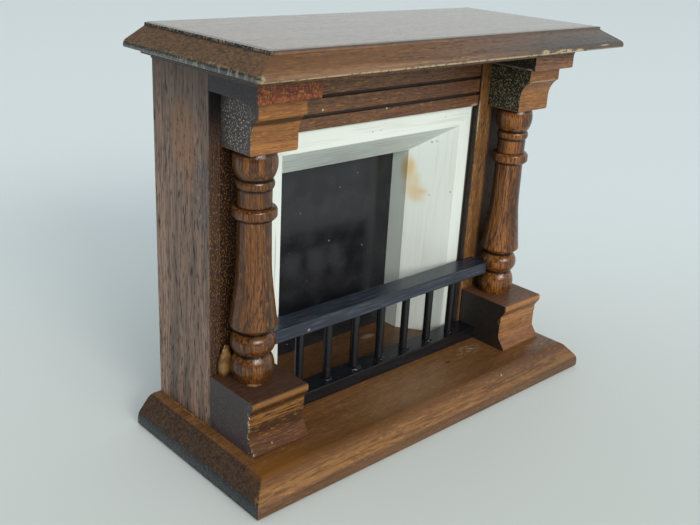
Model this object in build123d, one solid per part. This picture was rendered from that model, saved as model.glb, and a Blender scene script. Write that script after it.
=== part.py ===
from build123d import *
from math import radians, sin, tan
import os

# Doll's-house fireplace surround, twelfth scale, glued up from wooden pieces.
# Millimetres, +Z up. The front faces -Y and the back is flat against the wall.
# The origin is on the floor under the middle of the hearth board.

# Hearth board: how far it shows past the case and the plinths, and its edge
# of a low upright, a slope and rounded turns
hearth_side_margin = 7.2
hearth_front_margin = 11.1
hearth_thickness = 7.86
hearth_upright = 3.3
hearth_slope_inset = 3.9
hearth_foot_round = 0.7
hearth_shoulder_round = 3.4
hearth_lip_round = 2.8

# Case: two side panels, two posts, frieze and black back panel
body_width = 110.4
body_depth = 23.15
body_height = 87.89
side_thickness = 3.0
post_width = 14.45
post_thickness = 2.25
back_thickness = 3.3
board_edge_round = 0.2

# Frieze between the posts, with two grooves across it
frieze_height = 16.25
frieze_recess = 0.75
frieze_groove_drops = (7.75, 12.3)
frieze_groove_width = 0.85
frieze_groove_depth = 0.7
frieze_edge_round = 0.3

# White mitred frame round the fire opening, lapped behind the posts and the frieze
opening_width = 48.0
opening_return = 6.3
frame_bevel_width = 8.5
frame_side_lap = 2.25
frame_top_lap = 1.9

# Plinth under each column: heights from its foot, reaches from the post's face
plinth_width = 16.8
plinth_height = 14.34
plinth_foot_reach = 18.25
plinth_foot_height = 0.6
plinth_foot_round = 0.3
plinth_face_reach = 15.9
plinth_face_low = 3.7
plinth_face_high = 8.0
plinth_flare_round = 2.0
plinth_fillet_reach = 16.1
plinth_fillet_height = 9.2
plinth_fillet_round = 0.4
plinth_cove_reach = 15.95
plinth_cove_height = 10.3
plinth_cove_round = 0.8
plinth_nose_reach = 17.45
plinth_nose_height = 12.7
plinth_nose_round = 0.45

# Capital block on each column, coved below; the left one sits further in than the right
block_width = 13.3
block_height = 12.8
block_left_inset = 3.2
block_right_inset = 0.4
block_top_reach = 13.75
block_step_reach = 13.15
block_low_reach = 11.0
block_top_band = 3.95
block_step_height = 0.3
block_cove_height = 2.2
block_cove_round = 6.0
block_edge_round = 0.4
block_end_round = 0.7

# Capital strip between each block and the bed board
strip_thickness = 3.79
strip_reach = 17.65
strip_edge_round = 0.3
strip_end_round = 0.8

# Bed board under the shelf, its lower edge coved in to the case
bed_thickness = 2.9
bed_side_overhang = 3.0
bed_front_overhang = 2.6
bed_cove_width = 2.6
bed_cove_height = 1.25
bed_cove_round = 1.0

# Mantel shelf: insets and heights of the bevel and of the small step above it
shelf_side_overhang = 4.3
shelf_front_overhang = 7.95
shelf_thickness = 5.35
shelf_nose_height = 1.41
shelf_nose_round = 1.4
shelf_arris_round = 0.25
shelf_step_low = 4.45
shelf_step_high = 5.2
shelf_side_bevel = 5.5
shelf_front_bevel = 4.5
shelf_step_slant = 0.15
shelf_lip = 1.3
shelf_step_round = 0.1

# Turned columns: heights and radii of the beads, grooves, ring and shaft
column_standoff = 5.95
column_foot_radius = 4.7
base_bead_radius = 5.4
base_bead_height = 7.05
foot_bead_radius = 5.58
foot_bead_height = 5.85
foot_groove_radius = 4.1
shaft_foot_radius = 5.87
shaft_foot_height = 1.4
shaft_foot_round = 0.8
shaft_waist_radius = 4.25
shaft_flare_height = 15.2
shaft_flare_round = 50.0
shaft_top_radius = 4.0
ring_radius = 5.27
ring_height = 3.25
ring_top_round = 1.1
ring_low_chamfer = 0.75
neck_radius = 4.04
neck_height = 3.95
collar_bead_radius = 4.56
collar_bead_height = 2.45
top_groove_radius = 4.1
top_bead_radius = 5.22
top_bead_height = 6.35
column_top_radius = 4.75
spigot_radius = 1.5
spigot_length = 3.0

# Black fender across the opening: two rails and round balusters
rail_depth = 6.35
rail_height = 3.65
rail_edge_round = 0.25
baluster_radius = 1.15
baluster_clear_height = 17.3
baluster_tenon = 1.2
baluster_spacing = 9.87
baluster_count = 7

# Room left at the hidden fits
hole_clearance = 0.05
hole_end_clearance = 0.3
rail_end_clearance = 0.1

# Levels
case_floor = hearth_thickness
case_top = case_floor + body_height
strip_floor = case_top - strip_thickness
block_floor = strip_floor - block_height
plinth_top = case_floor + plinth_height
shelf_floor = case_top + bed_thickness
top_rail_floor = case_floor + rail_height + baluster_clear_height

# Places across and from back to front
hearth_depth = body_depth + plinth_foot_reach + hearth_front_margin
back_face = hearth_depth / 2
post_face = back_face - body_depth
land_face = post_face + post_thickness
panel_face = back_face - back_thickness
side_outer = body_width / 2
side_inner = side_outer - side_thickness
post_inner = side_inner - post_width
frame_land_width = post_inner + frame_side_lap - opening_width / 2 - frame_bevel_width
opening_top = case_top - frieze_height + frame_top_lap - frame_bevel_width - frame_land_width
plinth_inner = side_outer - plinth_width
column_x = side_outer - plinth_width / 2
column_y = post_face - column_standoff
strip_face = post_face - strip_reach
bed_face = strip_face - bed_front_overhang
bed_end = side_outer + bed_side_overhang
rail_y = post_face - rail_depth / 2


def box_between(x_ends, y_ends, z_ends):
    """A board given by its end positions along X, Y and Z."""
    size = [high - low for low, high in (x_ends, y_ends, z_ends)]
    middle = [(high + low) / 2 for low, high in (x_ends, y_ends, z_ends)]
    return Pos(*middle) * Box(*size)


def mirrored(shape):
    """The same piece on the other side of the surround."""
    return mirror(shape, about=Plane.YZ)


def rounded_corner(corner, before, after, radius):
    """The arc that rounds one corner, tangent to both of its sides."""
    back = (before - corner).normalized()
    onward = (after - corner).normalized()
    half_angle = radians(back.get_angle(onward) / 2)
    reach = radius / tan(half_angle)
    crown = radius / sin(half_angle) - radius
    middle = corner + (back + onward).normalized() * crown
    return ThreePointArc(corner + back * reach, middle, corner + onward * reach)


def rounded_line(points, rounds):
    """Straight runs from point to point, with its own rounding at each corner."""
    corners = [Vector(*point) for point in points]
    edges = []
    last = corners[0]
    for index, radius in enumerate(rounds):
        corner = corners[index]
        if radius == 0:
            arrival = leaving = corner
        else:
            arc = rounded_corner(corner, corners[index - 1], corners[(index + 1) % len(corners)], radius)
            edges.append(arc)
            arrival, leaving = arc @ 0, arc @ 1
        if (arrival - last).length > 1e-6:
            edges.append(Line(last, arrival))
        last = leaving
    return edges


def face_from(points, rounds):
    """A closed outline, drawn from the middle of its first side right round."""
    middle = [(here + there) / 2 for here, there in zip(points[-1], points[0])]
    return make_face(rounded_line([middle, *points, middle], [0, *rounds, 0]))


def run_along_x(points, rounds, x_ends):
    """Extrudes an outline of (y, z) points from one X position to another."""
    outline = Plane.YZ.offset(x_ends[0]) * face_from(points, rounds)
    return extrude(outline, amount=x_ends[1] - x_ends[0], dir=(1, 0, 0))


def run_along_y(points, rounds, y_ends):
    """Extrudes an outline of (x, z) points from one Y position to another."""
    outline = Plane.XZ.offset(-y_ends[1]) * face_from(points, rounds)
    return extrude(outline, amount=y_ends[1] - y_ends[0], dir=(0, -1, 0))


def moulded_board(half_width, front, side_edge, front_edge, rounds):
    """A board moulded alike on its left, right and front, with a straight back.

    Each edge lists (inset, height) from the bottom up; the mitres at the two
    front corners come from crossing the side section with the front section.
    """
    right = [(half_width - inset, height) for inset, height in side_edge]
    left = [(-x, height) for x, height in reversed(right)]
    across = run_along_y(right + left, rounds + rounds[::-1], (front, back_face))
    nose = [(front + inset, height) for inset, height in front_edge]
    rear = [(back_face, front_edge[-1][1]), (back_face, front_edge[0][1])]
    along = run_along_x(nose + rear, rounds + [0, 0], (-half_width, half_width))
    return across & along


def make_hearth_board():
    edge = [(0, 0), (0, hearth_upright), (hearth_slope_inset, hearth_thickness)]
    rounds = [hearth_foot_round, hearth_shoulder_round, hearth_lip_round]
    return moulded_board(side_outer + hearth_side_margin, -hearth_depth / 2, edge, edge, rounds)


def make_side_panel():
    panel = box_between((side_inner, side_outer), (post_face, back_face), (case_floor, case_top))
    front_corner = panel.edges().filter_by(Axis.Z).group_by(Axis.X)[-1].sort_by(Axis.Y)[0]
    return fillet(front_corner, board_edge_round)


def make_post():
    post = box_between((post_inner, side_inner), (post_face, land_face), (case_floor, case_top))
    inner_corner = post.edges().filter_by(Axis.Z).group_by(Axis.X)[0].sort_by(Axis.Y)[0]
    return fillet(inner_corner, board_edge_round)


def make_frieze_board():
    face = post_face + frieze_recess
    floor = case_top - frieze_height
    points = [(land_face, floor), (land_face, case_top), (face, case_top)]
    rounds = [0, 0, 0]
    for drop in frieze_groove_drops:
        groove_top = case_top - drop
        groove_floor = groove_top - frieze_groove_width
        deep = face + frieze_groove_depth
        points += [(face, groove_top), (deep, groove_top), (deep, groove_floor), (face, groove_floor)]
        rounds += [frieze_edge_round, 0, 0, 0]
    points.append((face, floor))
    rounds.append(frieze_edge_round)
    return run_along_x(points, rounds, (-post_inner, post_inner))


def make_back_panel():
    return box_between((-side_inner, side_inner), (panel_face, back_face), (case_floor, case_top))


def frame_section(sight):
    """Points across the moulding, from the sight edge outwards, paired with Y."""
    land = sight + frame_bevel_width
    outer = land + frame_land_width
    arris = panel_face - opening_return
    return [(sight, panel_face), (sight, arris), (land, land_face), (outer, land_face), (outer, panel_face)]


def make_frame_jamb():
    """The right upright of the frame, mitred at the top."""
    sight = opening_width / 2
    reach = frame_bevel_width + frame_land_width
    section = make_face(Polyline(*frame_section(sight), close=True))
    moulding = Pos(0, 0, case_floor) * extrude(section, amount=opening_top - case_floor + reach)
    mitre = [(sight, case_floor), (sight, opening_top), (sight + reach, opening_top + reach)]
    mitre.append((sight + reach, case_floor))
    return moulding & run_along_y(mitre, [0] * 4, (land_face, panel_face))


def make_frame_top():
    """The top length of the frame, mitred at both ends."""
    sight = opening_width / 2
    reach = frame_bevel_width + frame_land_width
    section = [(y, z) for z, y in frame_section(opening_top)]
    moulding = run_along_x(section, [0] * 5, (-sight - reach, sight + reach))
    mitre = [(-sight, opening_top), (sight, opening_top)]
    mitre += [(sight + reach, opening_top + reach), (-sight - reach, opening_top + reach)]
    return moulding & run_along_y(mitre, [0] * 4, (land_face, panel_face))


def spigot_hole(floor):
    """The round hole for a column's spigot, from its floor up."""
    depth = spigot_length + hole_end_clearance
    hole = Cylinder(spigot_radius + hole_clearance, depth, align=(Align.CENTER, Align.CENTER, Align.MIN))
    return Pos(column_x, column_y, floor) * hole


def make_plinth():
    corners = [
        (0, 0, 0),
        (plinth_foot_reach, 0, 0),
        (plinth_foot_reach, plinth_foot_height, plinth_foot_round),
        (plinth_face_reach, plinth_face_low, plinth_flare_round),
        (plinth_face_reach, plinth_face_high, plinth_cove_round),
        (plinth_fillet_reach, plinth_fillet_height, plinth_fillet_round),
        (plinth_cove_reach, plinth_cove_height, plinth_cove_round),
        (plinth_nose_reach, plinth_nose_height, plinth_fillet_round),
        (plinth_nose_reach, plinth_height, plinth_nose_round),
        (0, plinth_height, 0),
    ]
    points = [(post_face - reach, case_floor + height) for reach, height, corner in corners]
    rounds = [corner for reach, height, corner in corners]
    block = run_along_x(points, rounds, (plinth_inner, side_outer))
    return block - spigot_hole(plinth_top - spigot_length - hole_end_clearance)


def make_capital_block(inset):
    """The right capital block, a given distance in from the side of the case."""
    band_floor = strip_floor - block_top_band
    step_floor = band_floor - block_step_height
    cove_floor = step_floor - block_cove_height
    corners = [
        (0, block_floor, 0),
        (block_low_reach, block_floor, block_edge_round),
        (block_low_reach, cove_floor, block_cove_round),
        (block_step_reach, step_floor, 0),
        (block_top_reach, band_floor, 0),
        (block_top_reach, strip_floor, 0),
        (0, strip_floor, 0),
    ]
    points = [(post_face - reach, height) for reach, height, corner in corners]
    rounds = [corner for reach, height, corner in corners]
    outer = side_outer - inset
    inner = outer - block_width
    block = run_along_x(points, rounds, (inner, outer))
    front = [(inner, block_floor), (outer, block_floor), (outer, strip_floor), (inner, strip_floor)]
    rounded = [block_end_round, block_end_round, 0, 0]
    block = block & run_along_y(front, rounded, (post_face - block_top_reach, post_face))
    return block - spigot_hole(block_floor)


def make_capital_strip():
    front = [(post_inner, strip_floor), (side_outer, strip_floor)]
    front += [(side_outer, case_top), (post_inner, case_top)]
    rounds = [strip_end_round, strip_edge_round, 0, 0]
    strip = run_along_y(front, rounds, (strip_face, post_face))
    side = [(strip_face, strip_floor), (post_face, strip_floor), (post_face, case_top), (strip_face, case_top)]
    return strip & run_along_x(side, [strip_edge_round, 0, 0, 0], (post_inner, side_outer))


def bead(top, foot, top_radius, full_radius, foot_radius):
    """Half the outline of a turned bead, an arc through its fullest point."""
    return ThreePointArc((top_radius, top), (full_radius, (top + foot) / 2), (foot_radius, foot))


def make_column():
    """A turned column, drawn as half its outline and spun about its axis."""
    bead_foot = block_floor - top_bead_height
    collar_foot = bead_foot - collar_bead_height
    ring_top = collar_foot - neck_height
    ring_foot = ring_top - ring_height
    base_top = plinth_top + base_bead_height
    shaft_floor = base_top + foot_bead_height
    upper_spigot = Polyline(
        (0, block_floor + spigot_length),
        (spigot_radius, block_floor + spigot_length),
        (spigot_radius, block_floor),
        (column_top_radius, block_floor),
    )
    ring_and_shaft = [
        (neck_radius, collar_foot, 0),
        (neck_radius, ring_top, 0),
        (ring_radius, ring_top, ring_top_round),
        (ring_radius, ring_foot + ring_low_chamfer, ring_low_chamfer / 2),
        (ring_radius - ring_low_chamfer, ring_foot, 0),
        (shaft_top_radius, ring_foot, 0),
        (shaft_waist_radius, shaft_floor + shaft_flare_height, shaft_flare_round),
        (shaft_foot_radius, shaft_floor + shaft_foot_height, shaft_foot_round),
        (foot_groove_radius, shaft_floor, 0),
    ]
    points = [(radius, height) for radius, height, corner in ring_and_shaft]
    rounds = [corner for radius, height, corner in ring_and_shaft]
    lower_spigot = Polyline(
        (column_foot_radius, plinth_top),
        (spigot_radius, plinth_top),
        (spigot_radius, plinth_top - spigot_length),
        (0, plinth_top - spigot_length),
        (0, block_floor + spigot_length),
    )
    outline = [
        upper_spigot,
        bead(block_floor, bead_foot, column_top_radius, top_bead_radius, top_groove_radius),
        bead(bead_foot, collar_foot, top_groove_radius, collar_bead_radius, neck_radius),
        *rounded_line(points, rounds),
        bead(shaft_floor, base_top, foot_groove_radius, foot_bead_radius, foot_groove_radius),
        bead(base_top, plinth_top, foot_groove_radius, base_bead_radius, column_foot_radius),
        lower_spigot,
    ]
    half = Plane.XZ * make_face(outline)
    return Pos(column_x, column_y, 0) * revolve(half, Axis.Z)


def make_bed_board():
    edge = [
        (bed_cove_width, case_top),
        (bed_cove_width, case_top + bed_cove_height),
        (0, case_top + bed_cove_height),
        (0, shelf_floor),
    ]
    return moulded_board(bed_end, bed_face, edge, edge, [0, bed_cove_round, 0, 0])


def make_mantel_shelf():
    heights = [0, shelf_nose_height, shelf_step_low, shelf_step_high, shelf_thickness]
    edges = []
    for bevel in (shelf_side_bevel, shelf_front_bevel):
        insets = [0, 0, bevel, bevel + shelf_step_slant, bevel + shelf_lip]
        edges.append([(inset, shelf_floor + height) for inset, height in zip(insets, heights)])
    rounds = [shelf_arris_round, shelf_nose_round, shelf_step_round, shelf_step_round, shelf_step_round]
    end, face = bed_end + shelf_side_overhang, bed_face - shelf_front_overhang
    return moulded_board(end, face, edges[0], edges[1], rounds)


def make_rail(half_length, floor):
    """A fender rail, lying against the posts, with its long edges eased."""
    ends = (-half_length, half_length)
    rail = box_between(ends, (post_face - rail_depth, post_face), (floor, floor + rail_height))
    return fillet(rail.edges().filter_by(Axis.X), rail_edge_round)


def baluster_places():
    """Evenly spaced positions along the rails, about the middle."""
    first = -baluster_spacing * (baluster_count - 1) / 2
    return [first + baluster_spacing * index for index in range(baluster_count)]


def baluster_holes(floor):
    """The row of round holes that the balusters are glued into."""
    depth = baluster_tenon + hole_end_clearance
    hole = Cylinder(baluster_radius + hole_clearance, depth, align=(Align.CENTER, Align.CENTER, Align.MIN))
    return [Pos(x, rail_y, floor) * hole for x in baluster_places()]


def make_fender_bottom_rail():
    rail = make_rail(plinth_inner - rail_end_clearance, case_floor)
    hole_floor = case_floor + rail_height - baluster_tenon - hole_end_clearance
    return rail - baluster_holes(hole_floor)


def make_fender_top_rail():
    """The upper rail, which ends just short of the columns' lower beads."""
    rail = make_rail(column_x - foot_bead_radius - rail_end_clearance, top_rail_floor)
    return rail - baluster_holes(top_rail_floor)


def make_baluster(x):
    length = baluster_clear_height + 2 * baluster_tenon
    dowel = Cylinder(baluster_radius, length, align=(Align.CENTER, Align.CENTER, Align.MIN))
    return Pos(x, rail_y, case_floor + rail_height - baluster_tenon) * dowel


# One solid for each piece, written to its own file
pieces = {
    "hearth_board": make_hearth_board(),
    "frieze_board": make_frieze_board(),
    "back_panel": make_back_panel(),
    "frame_top": make_frame_top(),
    "bed_board": make_bed_board(),
    "mantel_shelf": make_mantel_shelf(),
    "fender_top_rail": make_fender_top_rail(),
    "fender_bottom_rail": make_fender_bottom_rail(),
    "capital_block_right": make_capital_block(block_right_inset),
    "capital_block_left": mirrored(make_capital_block(block_left_inset)),
}
paired_pieces = {
    "side_panel": make_side_panel(),
    "post": make_post(),
    "frame": make_frame_jamb(),
    "plinth": make_plinth(),
    "column": make_column(),
    "capital_strip": make_capital_strip(),
}
for name, shape in paired_pieces.items():
    pieces[name + "_right"] = shape
    pieces[name + "_left"] = mirrored(shape)
for number, place in enumerate(baluster_places(), start=1):
    pieces["baluster_" + str(number)] = make_baluster(place)

os.makedirs("parts", exist_ok=True)
for name, shape in pieces.items():
    export_step(shape, "parts/" + name + ".step")
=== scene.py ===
import math
from collections import namedtuple

import bmesh
import bpy
from bpy.props import FloatProperty, FloatVectorProperty, PointerProperty
from mathutils import Matrix, Vector, noise


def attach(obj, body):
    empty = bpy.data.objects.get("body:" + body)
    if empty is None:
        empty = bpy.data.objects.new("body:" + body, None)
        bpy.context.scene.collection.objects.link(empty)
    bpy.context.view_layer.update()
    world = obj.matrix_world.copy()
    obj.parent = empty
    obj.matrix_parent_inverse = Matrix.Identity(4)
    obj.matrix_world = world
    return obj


bl_info = {
    "name": "Fireplace Surround",
    "version": (1, 0, 0),
    "blender": (4, 5, 0),
    "location": "View3D > Sidebar > Fireplace",
    "description": "Stains, varnishes and paints the doll's-house fireplace surround, and sets its stage",
    "category": "Object",
}

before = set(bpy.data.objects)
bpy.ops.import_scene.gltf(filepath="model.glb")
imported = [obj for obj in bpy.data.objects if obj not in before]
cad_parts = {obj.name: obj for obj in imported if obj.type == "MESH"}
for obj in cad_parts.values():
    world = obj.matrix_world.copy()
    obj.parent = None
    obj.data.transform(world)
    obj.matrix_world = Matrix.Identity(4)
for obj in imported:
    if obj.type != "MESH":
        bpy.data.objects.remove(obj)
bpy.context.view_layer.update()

MM = 0.001
AXES = "XYZ"
SIDES = ("left", "right")
# half sizes in millimetres of marks that run past a piece's ends, so that they don't fade there
ACROSS = 150.0
UPRIGHT = 300.0
SMOOTH = {"interpolation_type": "SMOOTHSTEP"}

Corner = namedtuple("Corner", "x y z")
# A patch of another colour, its place and sizes in millimetres. A spacing breaks it up into spots, which
# cover about the given share of it.
Mark = namedtuple("Mark", "centre half_size colour strength soft spacing share", defaults=(0.35, None, 0.5))


def linear(hex_colour):
    """An sRGB hex colour as linear red, green and blue."""
    values = [int(hex_colour[i:i + 2], 16) / 255 for i in (0, 2, 4)]
    return tuple(v / 12.92 if v <= 0.04045 else ((v + 0.055) / 1.055) ** 2.4 for v in values)


def opaque(colour):
    """A colour, as sRGB hex or linear values, with the alpha that colour sockets ask for."""
    return (*(linear(colour) if isinstance(colour, str) else colour[:3]), 1.0)


def add_node(tree, kind, inputs=None, **settings):
    """Adds one shader node, sets its own settings, and fills or links its inputs.

    Inputs that share a name go by number: a map range counts its value, from
    low, from high, to low and to high; a colour mix has its share at 0, its
    colours at 6 and 7 and its result at 2.
    """
    new = tree.nodes.new("ShaderNode" + kind)
    for name, value in settings.items():
        setattr(new, name, value)
    for key, value in (inputs or {}).items():
        if isinstance(value, bpy.types.NodeSocket):
            tree.links.new(value, new.inputs[key])
        else:
            new.inputs[key].default_value = value
    return new


def new_material(name):
    """A material, its node tree, and in it the places on the part that patterns go by."""
    material = bpy.data.materials.new(name)
    material.use_nodes = True
    tree = material.node_tree
    tree.nodes.clear()
    return material, tree, add_node(tree, "TexCoord").outputs["Object"]


def piece_box(node_name):
    """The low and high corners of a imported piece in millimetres, rounded so that touching faces agree."""
    points = [vertex.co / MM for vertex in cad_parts[node_name].data.vertices]
    return [Corner(*[round(pick(point[axis] for point in points), 2) for axis in range(3)])
            for pick in (min, max)]


# Sizes and colours

def length(name, description, default):
    return FloatProperty(name=name, description=description, default=default, min=0.0,
                         unit="LENGTH", precision=5)


def colour(name, description, default):
    return FloatVectorProperty(name=name, description=description, default=linear(default), size=3,
                               min=0.0, max=1.0, subtype="COLOR")


class SurroundSizes(bpy.types.PropertyGroup):
    arris_width: length("Rubbed arris", "Width of the worn strip along a board's cut edges", 0.16 * MM)
    paint_arris_width: length("Painted arris", "Width of the rounded edges of the white frame", 0.12 * MM)
    pore_width: length("Pore width", "Width of one open pore of the stained boards", 0.13 * MM)
    pore_length: length("Pore length", "Length of one open pore along the grain", 0.9 * MM)
    grain_width: length("Grain width", "Distance between the fine streaks of the stained boards", 0.34 * MM)
    streak_length: length("Streak length", "Length of one fine streak along the grain", 12 * MM)
    figure_width: length("Figure width", "Distance between the broad light and dark bands", 3.6 * MM)
    bristle_width: length("Bristle mark", "Distance between brush marks in the paint", 0.42 * MM)
    dust_spacing: length("Dust spacing", "Distance between white specks on the black panel", 3.4 * MM)
    grit_spacing: length("Grit spacing", "Distance between bits of grit in the white paint", 4.5 * MM)
    glue_line_width: length("Glue line", "Width of the glue bead along the foot of the side panel", 1.1 * MM)


class SurroundColours(bpy.types.PropertyGroup):
    stain_light: colour("Front stain, light", "Light bands of the stained front faces", "8a6038")
    stain_deep: colour("Front stain, deep", "Dark bands of the stained front faces", "5c3b1f")
    stain_gold: colour("Golden flecks", "Bare-looking flecks between the pores", "c48d42")
    pore: colour("Pores", "Stain gathered in the open pores", "1d1310")
    # the side panels' bands are drawn greyer than the front boards': a painted cool reflection and painted
    # shade
    side_light: colour("Side stain, light", "Light bands of the side panels", "a0806d")
    side_deep: colour("Side stain, deep", "Dark bands of the side panels", "53473f")
    red_light: colour("Red stain, light", "Light bands of the left capital strip", "a95327")
    red_deep: colour("Red stain, deep", "Dark bands of the left capital strip", "5c2a1a")
    end_light: colour("End grain, light", "Open ends of the fibres on the sawn ends", "6d665f")
    end_deep: colour("End grain, deep", "Stain soaked into the sawn ends", "2b2728")
    raw_wood: colour("Bare wood", "Where the stain is rubbed or chipped off an arris", "b5a67e")
    turned_light: colour("Varnished wood, light", "Light bands of the turned columns", "8e5825")
    turned_deep: colour("Varnished wood, deep", "Dark bands of the turned columns", "341c0c")
    white_paint: colour("White paint", "Brushed paint on the frame of the opening", "e7f0ea")
    white_shade: colour("White paint, thin", "Paint drawn thin between the bristle marks", "bcc1b6")
    brown_mark: colour("Brown mark", "Old stain on the right jamb", "dcb452")
    black_gloss: colour("Black gloss paint", "Painted panel behind the opening", "1a1b1f")
    # the top rail's paint is drawn lighter and bluer than the rest of the fender: a painted sheen
    satin_rail: colour("Top rail paint", "Black paint on the fender's top rail", "242936")
    # painted sheen on the top rail's bristle ridges
    satin_rail_ridge_sheen: colour("Top rail sheen", "Bristle ridges on the fender's top rail", "525a6a")
    satin_low: colour("Fender paint", "Black paint on the bottom rail and the balusters", "121317")
    # painted sheen on the bristle ridges of the bottom rail and balusters
    satin_low_ridge_sheen: colour("Fender sheen", "Bristle ridges on the bottom rail and balusters", "262931")
    glue: colour("Dried glue", "Beads squeezed out of the joints", "8a683a")
    floor: colour("Floor", "Pale paper behind the surround", "e2eced")
    floor_near: colour("Near floor", "Pale paper in front of the surround", "d4dbd7")


# Patterns

def oval(tree, place, centre, half_size, soft):
    """A soft-edged oval at a place on the part."""
    middle = add_node(tree, "VectorMath", {0: place, 1: [c * MM for c in centre]}, operation="SUBTRACT")
    scaled = add_node(tree, "VectorMath", {0: middle.outputs[0], 1: [h * MM for h in half_size]},
                      operation="DIVIDE")
    away = add_node(tree, "VectorMath", {0: scaled.outputs[0]}, operation="LENGTH")
    fade = add_node(tree, "MapRange", {0: away.outputs["Value"], 1: 1.0 + soft, 2: 1.0 - soft}, **SMOOTH)
    return fade.outputs[0]


def broken_up(tree, mask, place, spacing, share):
    """The same patch, broken up into spots that lie a given distance apart along X, Y and Z."""
    if isinstance(spacing, float):
        spacing = [spacing] * 3
    counted = add_node(tree, "VectorMath", {0: place, 1: [s * MM for s in spacing]}, operation="DIVIDE")
    spots = add_node(tree, "TexNoise", {"Vector": counted.outputs[0], "Scale": 1.0, "Detail": 2.0})
    # the noise lies mostly between 0.38 and 0.62, so the edge moves between those two
    edge = 0.62 - 0.24 * share
    kept = add_node(tree, "MapRange", {0: spots.outputs["Fac"], 1: edge - 0.04, 2: edge + 0.04}, **SMOOTH)
    return add_node(tree, "Math", {0: mask, 1: kept.outputs[0]}, operation="MULTIPLY").outputs[0]


def layered(tree, tone, layers):
    """Lays tones over one another, each where its mask is white; a layer is a mask and its tone."""
    for mask, cover in layers:
        tone = add_node(tree, "Mix", {0: mask, 6: tone, 7: cover}, data_type="RGBA").outputs[2]
    return tone


def marked(tree, tone, place, marks):
    """Lays marks over a tone, one after the other."""
    for mark in marks:
        mask = oval(tree, place, mark.centre, mark.half_size, mark.soft)
        if mark.spacing:
            mask = broken_up(tree, mask, place, mark.spacing, mark.share)
        part = add_node(tree, "Math", {0: mask, 1: mark.strength}, operation="MULTIPLY")
        tone = layered(tree, tone, [(part.outputs[0], opaque(mark.colour))])
    return tone


def round_specks(tree, place, spacing, reach, bare):
    """Scattered round specks up to reach times the spacing in size; bare is the share of places without."""
    cells = add_node(tree, "TexVoronoi", {"Vector": place, "Scale": 1 / spacing})
    kind = add_node(tree, "SeparateColor", {0: cells.outputs["Color"]})
    size = add_node(tree, "Math", {0: kind.outputs[0], 1: reach}, operation="MULTIPLY")
    inside = add_node(tree, "Math", {0: cells.outputs["Distance"], 1: size.outputs[0]},
                      operation="LESS_THAN")
    chosen = add_node(tree, "Math", {0: kind.outputs[1], 1: bare}, operation="GREATER_THAN")
    both = add_node(tree, "Math", {0: inside.outputs[0], 1: chosen.outputs[0]}, operation="MULTIPLY")
    return both.outputs[0]


def drawn_out(tree, place, along, share):
    """The place squeezed to a share along one axis, so that a pattern on it is drawn out that way."""
    squeeze = [share if axis == along else 1.0 for axis in AXES]
    return add_node(tree, "VectorMath", {0: place, 1: squeeze}, operation="MULTIPLY").outputs[0]


def surfaced(tree, tone, roughness, index, height, strength, depth, more=None, invert=True):
    """Ends a material with its shader, over a relief of the given depth in millimetres."""
    relief = add_node(tree, "Bump", {"Strength": strength, "Distance": depth * MM, "Height": height},
                      invert=invert)
    shader = add_node(tree, "BsdfPrincipled", {"Base Color": tone, "Roughness": roughness, "IOR": index,
                                               "Normal": relief.outputs[0], **(more or {})})
    add_node(tree, "OutputMaterial", {0: shader.outputs[0]})
    return shader


# Wood

def wandering(tree, place, seed):
    """The place with a slow drift to each side, because grain never runs quite straight."""
    wander = add_node(tree, "TexNoise", {"Vector": place, "Scale": 1 / (30 * MM), "Detail": 1.0, "W": seed},
                      noise_dimensions="4D")
    swing = add_node(tree, "VectorMath", {0: wander.outputs["Color"], 1: (0.5, 0.5, 0.5)},
                     operation="SUBTRACT")
    drift = add_node(tree, "VectorMath", {0: swing.outputs[0], "Scale": 3.5 * MM}, operation="SCALE")
    return add_node(tree, "VectorMath", {0: place, 1: drift.outputs[0]}, operation="ADD").outputs[0]


def across_grain(tree, place, grain, flecks, seed, slant, end_light, end_deep, end_dots):
    """Layers for faces cut aslant and for sawn ends, which drink more stain and show the fibres' ends."""
    sizes = bpy.context.scene.surround_sizes
    slant_light, slant_deep = slant
    facing = add_node(tree, "SeparateXYZ", {0: place.node.outputs["Normal"]})
    across = add_node(tree, "Math", {0: facing.outputs[AXES.index(grain)]}, operation="ABSOLUTE")
    aslant = add_node(tree, "MapRange", {0: across.outputs[0], 1: 0.2, 2: 0.45, 3: 0.0, 4: 0.95}, **SMOOTH)
    end = add_node(tree, "MapRange", {0: across.outputs[0], 1: 0.8, 2: 0.95}, **SMOOTH)

    specks = add_node(tree, "TexNoise", {"Vector": place, "Scale": 0.5 / sizes.grain_width, "Detail": 4.0,
                                         "Roughness": 0.65, "W": seed + 23}, noise_dimensions="4D")
    mottle = add_node(tree, "MapRange", {0: specks.outputs["Fac"], 1: 0.38, 2: 0.66})
    fibres = add_node(tree, "MapRange", {0: flecks, 1: 0.72 - 0.2 * end_dots, 2: 0.84 - 0.2 * end_dots},
                      **SMOOTH)
    slant_tone = layered(tree, opaque(slant_deep), [(mottle.outputs[0], opaque(slant_light))])
    ground = [1.5 * value for value in opaque(end_deep)]
    end_tone = layered(tree, opaque(end_deep), [(mottle.outputs[0], opaque(ground)),
                                                (fibres.outputs[0], opaque(end_light))])
    return [(aslant.outputs[0], slant_tone), (end.outputs[0], end_tone)]


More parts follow.
